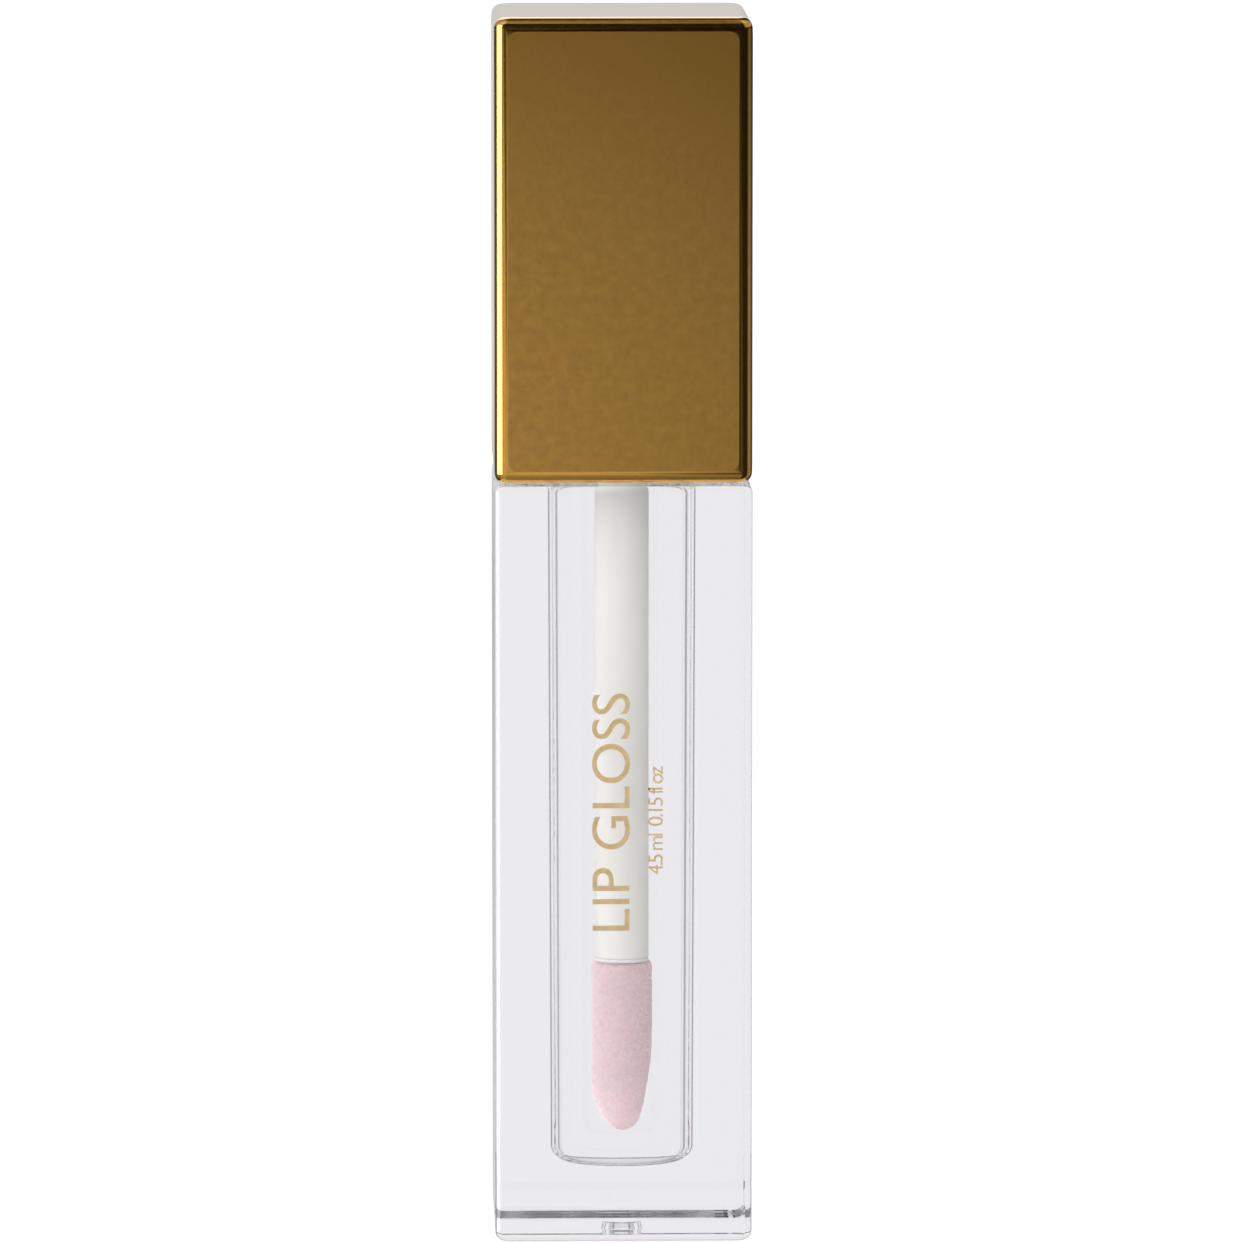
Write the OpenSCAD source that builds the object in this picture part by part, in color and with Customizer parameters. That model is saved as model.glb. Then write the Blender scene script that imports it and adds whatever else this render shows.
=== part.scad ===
// Lip gloss tube: a square thick-walled clear bottle with a screw cap that carries the wand.
// Millimetres. +Z is up, the origin is the middle of the bottle's foot, -Y is the printed front.

/* [Bottle] */
// Side of the square bottle and of the square cap
tube_w = 20; // [19.8:0.1:30]
// Height of the bottle from its foot to its shoulder
bottle_h = 59.3; // [35:0.1:90]
// Rounding of the bottle's upright edges
bottle_edge_r = 0.55; // [0.2:0.05:1.2]
// Rounding of the edges round the bottle's shoulder
bottle_rim_r = 0.5; // [0.2:0.05:0.8]
// Rounding of the edges round the bottle's foot
bottle_foot_r = 0.9; // [0.2:0.05:1.2]
// Width of the round bore that holds the gloss, at the neck
cavity_d = 11.75; // [8:0.05:11.9]
// How much narrower the bore is at its floor, so that it leaves the mould
cavity_taper = 0.4; // [0:0.02:0.6]
// Solid plastic under the bore
floor_t = 5.4; // [2:0.1:12]
// Rounding between the bore's wall and its floor
cavity_corner_r = 1.3; // [0.5:0.1:3.5]
// Width of the moulding gate's recess under the foot
gate_d = 3.2; // [1.5:0.1:5]
// Depth of the gate's recess
gate_depth = 0.6; // [0.1:0.05:0.8]

/* [Neck and thread] */
// Height of the neck above the shoulder
neck_h = 12.2; // [10:0.1:16]
// Wall of the neck under its thread
neck_wall = 0.85; // [0.7:0.05:0.95]
// Rise of the thread for one turn of the cap
thread_pitch = 2.4; // [2.2:0.1:2.8]
// Turns of thread on the neck, and in the cap
thread_turns = 1.5; // [1:0.25:1.5]
// How far the thread's ridge stands out
thread_depth = 0.7; // [0.4:0.05:0.8]
// Width of the ridge at its crest
thread_crest = 0.6; // [0.4:0.05:0.7]
// Height of the thread's lower end above the shoulder
thread_start = 4.4; // [3.5:0.1:5.5]
// Room between the neck's thread and the cap's, measured from the axis
thread_clearance = 0.25; // [0.15:0.05:0.35]

/* [Wiper] */
// Width that the wiper's flange stands out over the neck's bore
wiper_lip_w = 0.7; // [0.4:0.05:0.9]
// Thickness of the wiper's flange on the neck's rim
wiper_flange_t = 0.8; // [0.5:0.05:1.2]
// Wall of the wiper
wiper_wall = 0.8; // [0.5:0.05:1]
// Wall of the wiper at its lower lip
wiper_lip_wall = 0.4; // [0.3:0.05:0.7]
// Length of the wiper's wide barrel below the rim
wiper_barrel_l = 5.5; // [4:0.1:7]
// Length of the wiper's funnel under the barrel
wiper_funnel_l = 3.5; // [2:0.1:5]
// Length of the narrow nozzle under the funnel
wiper_nozzle_l = 4.2; // [2:0.1:6]
// Room between the wiper's barrel and the neck's bore
wiper_fit = 0.02; // [0.01:0.01:0.05]
// Room between the wiper's lip and the widest part of the wand
wipe_clearance = 0.14; // [0.1:0.02:0.3]

/* [Wand] */
// Width of the rod
rod_d = 4.7; // [3.4:0.05:5.2]
// Width of the flocked tip
tip_d = 5.2; // [4:0.05:5.6]
// Length of the flocked tip
tip_l = 13.4; // [9:0.1:18]
// Length of the tip's rounded nose
tip_nose_l = 4.2; // [2.5:0.1:6]
// Lean of the tip's slanted face, in degrees from upright
tip_slant = 12; // [5:1:20]
// Height above the tip's end at which the slanted face meets its side
tip_slant_h = 6; // [3:0.1:8]
// Thickness of the flock and its glue
flock_t = 0.4; // [0.3:0.05:0.6]
// Room between the flock and the core that it is glued to
flock_glue = 0.02; // [0.01:0.01:0.05]
// Thickness of the core's collar, which shows between the rod and the flock
collar_t = 0.3; // [0.2:0.05:0.6]
// Width of the peg that holds the core in the rod
peg_d = 2.2; // [1.6:0.05:2.4]
// Length of that peg
peg_l = 6; // [3:0.1:9]
// Room between the peg and the rod, and between the rod's head and the inner cap
head_fit = 0.03; // [0.02:0.01:0.08]
// Room between the tip and the bottle's floor
tip_gap = 2.4; // [1:0.1:5]
// How far the rod's flange stands out from the rod
rod_flange_w = 2.2; // [1.5:0.1:2.4]
// Thickness of the rod's flange under the inner cap's roof
rod_flange_t = 0.9; // [0.5:0.05:0.95]
// How far the snap ring on the rod's head stands out
snap_w = 0.35; // [0.2:0.05:0.5]
// Height of the snap ring
snap_t = 0.9; // [0.5:0.1:1.5]

/* [Cap] */
// Height of the cap
cap_h = 36.1; // [26:0.1:50]
// Gap between the cap and the bottle's shoulder
cap_gap = 0.2; // [0.1:0.05:0.5]
// Wall of the gold outer cap
cap_wall = 1.2; // [0.9:0.05:1.2]
// Thickness of the outer cap's top
cap_top_t = 1.4; // [0.9:0.1:2.5]
// Rounding of the outer cap's edges
cap_edge_r = 0.85; // [0.3:0.05:1.1]
// Wall of the inner cap outside its thread
liner_wall = 0.95; // [0.7:0.05:1.05]
// Thickness of the inner cap's roof
liner_roof_t = 1.4; // [1:0.1:2.5]
// Thickness of the inner cap's square foot and of its corner fins
liner_rib_t = 1.2; // [0.8:0.1:2]
// How far the inner cap's foot sits above the outer cap's rim
liner_inset = 0.5; // [0.3:0.1:1]
// Room between the inner cap and the outer cap, filled with glue
liner_fit = 0.05; // [0.03:0.01:0.1]
// Thickness of the sealing washer
washer_t = 1; // [0.8:0.05:1.5]
// Room between the washer and what it sits round and inside
washer_clearance = 0.2; // [0.15:0.05:0.3]

/* [Gloss] */
// Height of the gloss above the shoulder, inside the neck
fill_h = 4; // [2:0.1:5]
// Thin gap that keeps the gloss off the plastic round it
gloss_gap = 0.02; // [0.01:0.01:0.05]

/* [Hidden] */
$fn = 96;

cavity_top_r = cavity_d / 2;
cavity_floor_r = (cavity_d - cavity_taper) / 2;
neck_r = cavity_top_r + neck_wall;
rim_z = bottle_h + neck_h;
seal_z = rim_z + wiper_flange_t;
roof_z = seal_z + washer_t;
cap_z = bottle_h + cap_gap;
crest_r = neck_r + thread_depth;
liner_bore_r = crest_r + thread_clearance;
liner_crest_r = neck_r + thread_clearance;
liner_r = liner_bore_r + liner_wall;
shell_in_w = tube_w - 2 * cap_wall;
orifice_r = max(rod_d, tip_d) / 2 + wipe_clearance;
nozzle_r = orifice_r + wiper_lip_wall;
tip_z = floor_t + tip_gap;
rod_foot_z = tip_z + tip_l + collar_t;
rod_flange_r = rod_d / 2 + rod_flange_w;
core_r = tip_d / 2 - flock_t;
thread_foot = 0.2;      // how deep the ridge's root is sunk in its wall
thread_steps = 24;      // flats of the ridge in one turn
thread_fade = 3;        // flats over which the ridge rises at each end
arc_steps = 8;          // flats in a rounded corner of a turned outline
over = 1;               // how far a cutting tool stands past the face that it cuts
big = 2 * (bottle_h + cap_h + tube_w); // larger than anything that it cuts

// An upright square post with round edges
module post(w, h, r) {
    translate([-w / 2 + r, -w / 2, 0]) cube([w - 2 * r, w, h]);
    translate([-w / 2, -w / 2 + r, 0]) cube([w, w - 2 * r, h]);
    for (x = [-1, 1], y = [-1, 1])
        translate([x * (w / 2 - r), y * (w / 2 - r), 0]) cylinder(r = r, h = h);
}

// A flat slab seen from its end, with round edges along its length: low_r below and high_r above
module slab(w, h, low_r, high_r) {
    translate([-w / 2, low_r, 0]) cube([w, h - low_r - high_r, big]);
    translate([-w / 2 + low_r, 0, 0]) cube([w - 2 * low_r, low_r, big]);
    translate([-w / 2 + high_r, h - high_r, 0]) cube([w - 2 * high_r, high_r, big]);
    for (x = [-1, 1]) {
        translate([x * (w / 2 - low_r), low_r, 0]) cylinder(r = low_r, h = big);
        translate([x * (w / 2 - high_r), h - high_r, 0]) cylinder(r = high_r, h = big);
    }
}

// A square block standing on z = 0, its edges rounded by side_r upright, low_r below, high_r above
module block(w, h, side_r, low_r, high_r) {
    intersection() {
        post(w, h, side_r);
        translate([0, big / 2, 0]) rotate([90, 0, 0]) slab(w, h, low_r, high_r);
        translate([-big / 2, 0, 0]) rotate([90, 0, 90]) slab(w, h, low_r, high_r);
    }
}

// Outline points of a quarter circle round (x, y), from angle a to angle b
function arc(x, y, r, a, b) =
    [for (i = [0:arc_steps]) let (t = a + (b - a) * i / arc_steps) [x + r * cos(t), y + r * sin(t)]];

// Half outline of the bottle's bore, drawn smaller by gap, up to height top
function bore_outline(gap, top) =
    let (foot = floor_t + gap, r = cavity_floor_r - gap, c = cavity_corner_r - gap)
    concat([[0, foot]],
           arc(r - c, foot + c, c, -90, 0),
           [[cavity_top_r - gap, bottle_h], [cavity_top_r - gap, top], [0, top]]);

// Outline of the wiper's outside, from the flange's edge down to its lip, drawn larger by gap
function wiper_outside(gap) =
    let (r = cavity_top_r - wiper_fit, b = rim_z - wiper_barrel_l, f = b - wiper_funnel_l)
    [[r, rim_z], [r, b], [nozzle_r + gap, f - gap], [nozzle_r + gap, f - wiper_nozzle_l - gap]];

// Half outline of the round-nosed tip, inset from the flock's surface
function tip_outline(inset) =
    let (r = tip_d / 2 - inset, l = tip_nose_l - inset, top = tip_z + tip_l)
    concat([[0, top], [0, tip_z + inset]],
           [for (i = [1:arc_steps + 2]) let (t = 90 * i / (arc_steps + 2))
               [r * sin(t), tip_z + inset + l * (1 - cos(t))]],
           [[r, top]]);

// One point of ring i of a helical ridge: its radius and its height from the ridge's middle
function ridge_ring(i, steps, root_r, tip_r, root_w, phase) =
    let (fade = min(1, i / thread_fade, (steps - i) / thread_fade),
         a = phase + 360 * i / thread_steps,
         z = thread_pitch * i / thread_steps,
         r = root_r + (tip_r - root_r) * (0.1 + 0.9 * fade))
    [for (p = [[root_r, -root_w], [r, -thread_crest], [r, thread_crest], [root_r, root_w]])
        [p[0] * cos(a), p[0] * sin(a), z + p[1] / 2]];

// A helical ridge from root_r to tip_r, which may point outwards or inwards
module ridge(root_r, tip_r, phase) {
    steps = round(thread_turns * thread_steps);
    root_w = thread_crest + thread_depth;
    out = tip_r > root_r;
    rings = [for (i = [0:steps]) ridge_ring(i, steps, root_r, tip_r, root_w, phase)];
    points = [for (r = rings) for (p = r) p];
    sides = [for (i = [0:steps - 1], j = [0:3])
        let (a = 4 * i + j, b = 4 * i + (j + 1) % 4)
        for (t = [[a, b, b + 4], [a, b + 4, a + 4]]) t];
    last = 4 * steps;
    ends = [[0, 2, 1], [0, 3, 2], [last, last + 1, last + 2], [last, last + 2, last + 3]];
    faces = concat(sides, ends);
    polyhedron(points, out ? faces : [for (f = faces) [f[2], f[1], f[0]]]);
}

// Clear thick-walled bottle: square outside, round bore inside, threaded neck on top
module bottle() {
    color([0.93, 0.95, 0.97, 0.35])
        difference() {
            union() {
                block(tube_w, bottle_h, bottle_edge_r, bottle_foot_r, bottle_rim_r);
                translate([0, 0, bottle_h - over]) cylinder(r = neck_r, h = neck_h + over);
                translate([0, 0, bottle_h + thread_start])
                    ridge(neck_r - thread_foot, crest_r, 0);
            }
            rotate_extrude() polygon(bore_outline(0, rim_z + over));
            translate([0, 0, -over]) cylinder(d = gate_d, h = gate_depth + over);
        }
}

// Clear gloss that fills the bore, with a channel where the wand goes
module gloss() {
    top = bottle_h + fill_h;
    color([0.97, 0.97, 0.96, 0.3])
        difference() {
            rotate_extrude() polygon(bore_outline(gloss_gap, top));
            translate([0, 0, tip_z - gloss_gap]) cylinder(r = orifice_r, h = big);
            rotate_extrude()
                polygon(concat([[0, rim_z]], wiper_outside(gloss_gap),
                               [[0, wiper_outside(gloss_gap)[3][1]]]));
        }
}

// Soft wiper pressed into the neck: flange, barrel, funnel and the lip that strips the wand
module wiper() {
    outside = wiper_outside(0);
    in_r = cavity_top_r - wiper_fit - wiper_wall;
    inside = [[orifice_r, outside[3][1]], [orifice_r, outside[2][1]], [in_r, outside[1][1]],
              [in_r, seal_z]];
    color([0.95, 0.95, 0.93])
        rotate_extrude()
            polygon(concat(inside,
                           [[cavity_top_r + wiper_lip_w, seal_z],
                            [cavity_top_r + wiper_lip_w, rim_z]],
                           outside));
}

// Foam washer that the cap presses onto the wiper's flange
module sealing_washer() {
    color([0.88, 0.88, 0.86])
        translate([0, 0, seal_z])
            difference() {
                cylinder(r = neck_r, h = washer_t);
                translate([0, 0, -over])
                    cylinder(r = rod_flange_r + washer_clearance, h = washer_t + 2 * over);
            }
}

// White rod: shaft, flange under the inner cap's roof, and snap head above it
module wand_rod() {
    head_z = roof_z + liner_roof_t + head_fit;
    color([0.96, 0.96, 0.94])
        difference() {
            union() {
                translate([0, 0, rod_foot_z])
                    cylinder(d = rod_d, h = head_z + snap_t - rod_foot_z);
                translate([0, 0, roof_z - rod_flange_t - head_fit])
                    cylinder(r = rod_flange_r, h = rod_flange_t);
                translate([0, 0, head_z]) cylinder(d = rod_d + 2 * snap_w, h = snap_t);
            }
            translate([0, 0, rod_foot_z - over])
                cylinder(d = peg_d + 2 * head_fit, h = peg_l + 2 * head_fit + over);
        }
}

// The slice that the slanted face takes off the tip, set back by inset
module slant(inset) {
    translate([tip_d / 2 - inset, 0, tip_z + tip_slant_h])
        rotate([0, tip_slant, 0]) translate([0, -tip_d, -big]) cube([big, 2 * tip_d, big]);
}

// Moulded core of the tip: peg, collar and the blade that carries the flock
module tip_core() {
    inset = flock_t + flock_glue;
    color([0.97, 0.95, 0.95])
        union() {
            difference() {
                rotate_extrude() polygon(tip_outline(inset));
                slant(inset);
            }
            translate([0, 0, tip_z + tip_l]) cylinder(d = rod_d, h = collar_t);
            translate([0, 0, tip_z + tip_l]) cylinder(d = peg_d, h = collar_t + peg_l);
        }
}

// Pink flock round the core
module flocked_tip() {
    color([0.96, 0.80, 0.84])
        difference() {
            rotate_extrude() polygon(tip_outline(0));
            slant(0);
            difference() {
                rotate_extrude() polygon(tip_outline(flock_t));
                slant(flock_t);
            }
            translate([0, 0, tip_z + tip_l - flock_glue]) cylinder(r = core_r, h = over);
        }
}

// Inner cap: threaded sleeve with a roof that holds the rod, and a square foot and fins
// that centre it in the outer cap
module inner_cap() {
    foot_z = cap_z + liner_inset;
    top_z = roof_z + liner_roof_t;
    fit_w = shell_in_w - 2 * liner_fit;
    color([0.94, 0.94, 0.92])
        union() {
            difference() {
                union() {
                    translate([0, 0, foot_z]) cylinder(r = liner_r, h = top_z - foot_z);
                    translate([-fit_w / 2, -fit_w / 2, foot_z]) cube([fit_w, fit_w, liner_rib_t]);
                    intersection() {
                        translate([-fit_w / 2, -fit_w / 2, foot_z])
                            cube([fit_w, fit_w, top_z - foot_z]);
                        for (a = [45, 135])
                            rotate([0, 0, a])
                                translate([-big / 2, -liner_rib_t / 2, foot_z])
                                    cube([big, liner_rib_t, top_z - foot_z]);
                    }
                }
                translate([0, 0, foot_z - over])
                    cylinder(r = liner_bore_r, h = roof_z - foot_z + over);
                cylinder(d = rod_d + 2 * head_fit, h = big);
            }
            translate([0, 0, bottle_h + thread_start])
                ridge(liner_bore_r + thread_foot, liner_crest_r, 180);
        }
}

// Gold outer cap: a square shell closed at the top
module cap_shell() {
    color([0.62, 0.47, 0.22])
        translate([0, 0, cap_z])
            difference() {
                block(tube_w, cap_h, cap_edge_r, cap_edge_r, cap_edge_r);
                translate([-shell_in_w / 2, -shell_in_w / 2, -over])
                    cube([shell_in_w, shell_in_w, cap_h - cap_top_t + over]);
            }
}

bottle();
gloss();
wiper();
sealing_washer();
wand_rod();
tip_core();
flocked_tip();
inner_cap();
cap_shell();
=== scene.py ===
import math
import random

import bmesh
import bpy
from mathutils import Matrix, Vector


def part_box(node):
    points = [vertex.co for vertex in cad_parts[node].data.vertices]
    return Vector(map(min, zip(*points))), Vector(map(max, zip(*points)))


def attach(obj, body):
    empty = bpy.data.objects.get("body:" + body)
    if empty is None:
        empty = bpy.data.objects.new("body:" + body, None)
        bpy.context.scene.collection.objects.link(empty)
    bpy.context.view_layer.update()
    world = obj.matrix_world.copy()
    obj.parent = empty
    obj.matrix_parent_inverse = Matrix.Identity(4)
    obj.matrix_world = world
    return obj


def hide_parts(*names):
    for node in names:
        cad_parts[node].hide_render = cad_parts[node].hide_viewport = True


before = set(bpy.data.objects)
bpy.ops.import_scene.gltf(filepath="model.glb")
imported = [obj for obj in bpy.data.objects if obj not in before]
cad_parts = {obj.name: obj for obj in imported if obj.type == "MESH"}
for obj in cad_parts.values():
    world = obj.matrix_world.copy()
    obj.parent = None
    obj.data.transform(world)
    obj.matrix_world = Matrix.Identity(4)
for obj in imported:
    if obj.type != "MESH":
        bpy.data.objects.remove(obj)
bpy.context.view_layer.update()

MM = 0.001


# ---------------------------------------------------------------------------------------------
# Bottle: one thick-walled moulding in clear plastic. A square block with soft edges, a round bore
# with a little draft, a threaded neck, and the shallow gate recess under its foot.
# ---------------------------------------------------------------------------------------------
bottle_low, bottle_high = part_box("bottle")
cap_low, cap_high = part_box("cap_shell")
gloss_low, gloss_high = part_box("gloss")

GLOSS_GAP = 0.02 * MM    # between the gloss and the bore's wall
SHOULDER_GAP = 0.2 * MM  # between the shoulder and the closed cap
BORE_DRAFT = 0.2 * MM    # how much smaller the bore's radius is at its floor
NECK_WALL = 0.85 * MM
tube_w = bottle_high.x - bottle_low.x
rim_z = bottle_high.z
shoulder_z = cap_low.z - SHOULDER_GAP
bore_r = gloss_high.x + GLOSS_GAP
gloss_z = gloss_high.z
floor_z = gloss_low.z - GLOSS_GAP
floor_r = bore_r - BORE_DRAFT
neck_r = bore_r + NECK_WALL

UPRIGHT_R = 0.55 * MM    # round of the four upright edges
FOOT_R = 0.9 * MM
SHOULDER_R = 0.5 * MM
BORE_CORNER_R = 1.3 * MM
NECK_ROOT_R = 0.25 * MM
NECK_RING = 0.3 * MM     # flat of the shoulder that belongs to the neck's outline
GATE_R = 1.6 * MM        # at the mouth of the recess
GATE_FLOOR_R = 1.45 * MM
GATE_DEPTH = 0.6 * MM
GATE_CORNER_R = 0.15 * MM

TURN_STEPS = 128         # flats round every turned piece
THREAD_PITCH = 2.4 * MM
THREAD_TURNS = 1.5
THREAD_DEPTH = 0.7 * MM
THREAD_FADE = 45.0       # degrees over which the ridge rises at each end
THREAD_CREST = 0.6 * MM
THREAD_ROOT = 1.15 * MM
THREAD_START = 4.4 * MM  # above the shoulder
THREAD_MARGIN = 1.0 * MM
THREAD_ROW = 0.11 * MM
thread_z = shoulder_z + THREAD_START
thread_span = (thread_z - THREAD_MARGIN, thread_z + THREAD_TURNS * THREAD_PITCH + THREAD_MARGIN)

MERGE = 0.0005 * MM      # points closer than this are one
NEAR = 0.01 * MM         # how near a point lies to a wall that it belongs to


def filleted(corners, flats=5):
    """Outline points from (radius, height, fillet) corners, with an arc at each corner that has one."""
    points = []
    for i, (x, z, fillet) in enumerate(corners):
        here = Vector((x, z))
        if not fillet or i in (0, len(corners) - 1):
            points.append(here)
            continue
        back = (Vector(corners[i - 1][:2]) - here).normalized()
        ahead = (Vector(corners[i + 1][:2]) - here).normalized()
        half = back.angle(ahead) / 2
        centre = here + (back + ahead).normalized() * fillet / math.sin(half)
        first = here + back * fillet / math.tan(half) - centre
        last = here + ahead * fillet / math.tan(half) - centre
        sweep = first.angle_signed(last)
        for k in range(flats + 1):
            turn = Matrix.Rotation(-sweep * k / flats, 2)
            points.append(centre + turn @ first)
    return points


def spin_outline(bm, points, steps=TURN_STEPS):
    """Turns an outline of (radius, height) points once round the Z axis and closes its poles."""
    verts = [bm.verts.new((p.x, 0, p.y)) for p in points]
    edges = [bm.edges.new(pair) for pair in zip(verts, verts[1:])]
    bmesh.ops.spin(bm, geom=verts + edges, cent=(0, 0, 0), axis=(0, 0, 1), dvec=(0, 0, 0),
                   angle=math.tau, steps=steps, use_merge=True, use_duplicate=False)
    bmesh.ops.remove_doubles(bm, verts=bm.verts[:], dist=MERGE)


def round_square(bm, half, side_r, z, flats=8):
    """A square face with round corners, at height z."""
    corners = bmesh.ops.create_grid(bm, x_segments=1, y_segments=1, size=half)["verts"]
    bmesh.ops.translate(bm, verts=corners, vec=(0, 0, z))
    bmesh.ops.bevel(bm, geom=corners, offset=side_r, segments=flats, profile=0.5,
                    affect="VERTICES", material=-1)
    bm.faces.ensure_lookup_table()
    return bm.faces[-1]


def column(bm, half, side_r, stops, flats=8):
    """A square column with round upright edges, with one ring at each (inset, height) stop."""
    face = round_square(bm, half, side_r, stops[0][1], flats)
    ring = face.edges[:]
    bmesh.ops.scale(bm, verts=face.verts[:], vec=[(half - stops[0][0]) / half] * 2 + [1])
    for (inset, z), (last_inset, last_z) in zip(stops[1:], stops):
        grown = bmesh.ops.extrude_edge_only(bm, edges=ring)["geom"]
        ring = [e for e in grown if isinstance(e, bmesh.types.BMEdge) and e.is_boundary]
        verts = list({v for e in ring for v in e.verts})
        bmesh.ops.translate(bm, verts=verts, vec=(0, 0, z - last_z))
        bmesh.ops.scale(bm, verts=verts, vec=[(half - inset) / (half - last_inset)] * 2 + [1])
    return face, ring


def round_over(radius, z, way, flats=8):
    """Stops of a quarter-round edge: outwards and up from height z, or inwards up to it."""
    turns = [math.pi / 2 * i / flats for i in range(flats + 1)]
    if way == "out":
        return [(radius * (1 - math.sin(t)), z + radius * (1 - math.cos(t))) for t in turns]
    return [(radius * (1 - math.cos(t)), z - radius * (1 - math.sin(t))) for t in turns]


def rim_edges(bm, z):
    """The open edges of a mesh that lie at height z."""
    return [e for e in bm.edges
            if e.is_boundary and all(abs(v.co.z - z) < 0.001 * MM for v in e.verts)]


def finished(name, bm, sharp=40.0):
    """Makes the object, smooth where it is round and flat where it is flat."""
    bmesh.ops.recalc_face_normals(bm, faces=bm.faces[:])
    for face in bm.faces:
        face.smooth = True
    mesh = bpy.data.meshes.new(name)
    bm.to_mesh(mesh)
    bm.free()
    mesh.set_sharp_from_angle(angle=math.radians(sharp))
    piece = bpy.data.objects.new(name, mesh)
    bpy.context.scene.collection.objects.link(piece)
    weighted = piece.modifiers.new("even_shading", "WEIGHTED_NORMAL")
    weighted.weight = 100
    weighted.keep_sharp = True
    return piece


def material(name):
    """A new material with its node tree and its one Principled shader."""
    made = bpy.data.materials.new(name)
    made.use_nodes = True
    nodes = made.node_tree.nodes
    return made, made.node_tree, nodes["Principled BSDF"]


def centred(tree, scale=(1, 1, 1), turn=(0, 0, 0)):
    """Object coordinates through a Mapping node, to place a pattern on a piece."""
    coordinates = tree.nodes.new("ShaderNodeTexCoord")
    mapping = tree.nodes.new("ShaderNodeMapping")
    mapping.inputs["Scale"].default_value = scale
    mapping.inputs["Rotation"].default_value = turn
    tree.links.new(coordinates.outputs["Object"], mapping.inputs["Vector"])
    return mapping.outputs["Vector"]


def noise_value(tree, vector, scale, low, high, detail=3.0):
    """A noise pattern, which lies mostly between 0.3 and 0.7, spread out from low to high."""
    pattern = tree.nodes.new("ShaderNodeTexNoise")
    pattern.inputs["Scale"].default_value = scale
    pattern.inputs["Detail"].default_value = detail
    spread = tree.nodes.new("ShaderNodeMapRange")
    spread.inputs["From Min"].default_value = 0.3
    spread.inputs["From Max"].default_value = 0.7
    spread.inputs["To Min"].default_value = low
    spread.inputs["To Max"].default_value = high
    tree.links.new(vector, pattern.inputs["Vector"])
    tree.links.new(pattern.outputs["Fac"], spread.inputs["Value"])
    return spread.outputs["Result"]


def bump(tree, shader, height, strength, distance):
    """Raises the surface by a pattern, for shading only."""
    node = tree.nodes.new("ShaderNodeBump")
    node.inputs["Strength"].default_value = strength
    node.inputs["Distance"].default_value = distance
    tree.links.new(height, node.inputs["Height"])
    tree.links.new(node.outputs["Normal"], shader.inputs["Normal"])


def ridge_height(x, y, z, first_angle, base_z):
    """How far a helical thread ridge stands at a point, from 0 to 1."""
    angle = math.degrees(math.atan2(y, x)) - first_angle
    tallest = 0.0
    for lap in range(-1, 5):
        run = angle + 360 * lap
        if not 0 <= run <= 360 * THREAD_TURNS:
            continue
        away = abs(z - base_z - THREAD_PITCH * run / 360)
        slope = (THREAD_ROOT / 2 - away) / (THREAD_ROOT - THREAD_CREST) * 2
        ends = min(run, 360 * THREAD_TURNS - run) / THREAD_FADE
        tallest = max(tallest, min(1, max(0, slope)) * min(1, ends))
    return tallest


def thread_rows(radius, from_z, to_z):
    """Close rows of an outline, so that a thread can be raised out of them."""
    count = round(abs(to_z - from_z) / THREAD_ROW)
    return [(radius, from_z + (to_z - from_z) * i / count, 0) for i in range(count + 1)]


bm = bmesh.new()
foot_face, _ = column(
    bm, tube_w / 2, UPRIGHT_R,
    round_over(FOOT_R, 0, "out") + round_over(SHOULDER_R, shoulder_z, "in"))
bmesh.ops.delete(bm, geom=[foot_face], context="FACES_ONLY")
inside = filleted(
    [(neck_r + NECK_RING, shoulder_z, 0), (neck_r, shoulder_z, NECK_ROOT_R)]
    + thread_rows(neck_r, *thread_span)
    + [(neck_r, rim_z, 0.2 * MM), (bore_r, rim_z, 0.15 * MM), (bore_r, gloss_z, 0),
       (bore_r, shoulder_z, 0), (floor_r, floor_z, BORE_CORNER_R), (0, floor_z, 0)], flats=10)
spin_outline(bm, inside)
for vert in bm.verts:
    if shoulder_z < vert.co.z < rim_z and abs(vert.co.xy.length - neck_r) < NEAR:
        rise = THREAD_DEPTH * ridge_height(*vert.co, 0, thread_z)
        vert.co.xy *= (neck_r + rise) / neck_r
bmesh.ops.triangle_fill(bm, use_beauty=True, edges=rim_edges(bm, shoulder_z), normal=(0, 0, 1))
gate = filleted([(GATE_R, 0, 0), (GATE_FLOOR_R, GATE_DEPTH, GATE_CORNER_R), (0, GATE_DEPTH, 0)])
spin_outline(bm, gate)
bmesh.ops.triangle_fill(bm, use_beauty=True, edges=rim_edges(bm, 0), normal=(0, 0, -1))
bottle = finished("clear_bottle", bm)

clear_plastic, tree, shader = material("clear_plastic")
shader.inputs["Base Color"].default_value = (0.848, 0.846, 0.870, 1)
shader.inputs["IOR"].default_value = 1.50
shader.inputs["Transmission Weight"].default_value = 1.0
tree.links.new(noise_value(tree, centred(tree), 90, 0.0, 0.012), shader.inputs["Roughness"])
bump(tree, shader, noise_value(tree, centred(tree, (1, 1, 0.3)), 60, 0, 1, 1.0), 0.04, 0.01 * MM)

wetted_wall, tree, shader = material("wetted_bore_wall")
shader.inputs["Base Color"].default_value = (0.99, 0.99, 0.99, 1)
shader.inputs["IOR"].default_value = 1.11
shader.inputs["Transmission Weight"].default_value = 1.0
tree.links.new(noise_value(tree, centred(tree), 120, 0.0, 0.01), shader.inputs["Roughness"])

# The wall that the gloss wets has its own, lower refraction, as light passes from plastic to gloss.
bottle.data.materials.append(clear_plastic)
bottle.data.materials.append(wetted_wall)
for face in bottle.data.polygons:
    middle = face.center
    if middle.xy.length < bore_r + NEAR and floor_z - NEAR < middle.z < gloss_z:
        face.material_index = 1
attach(bottle, "bottle")
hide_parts("bottle")


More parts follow.
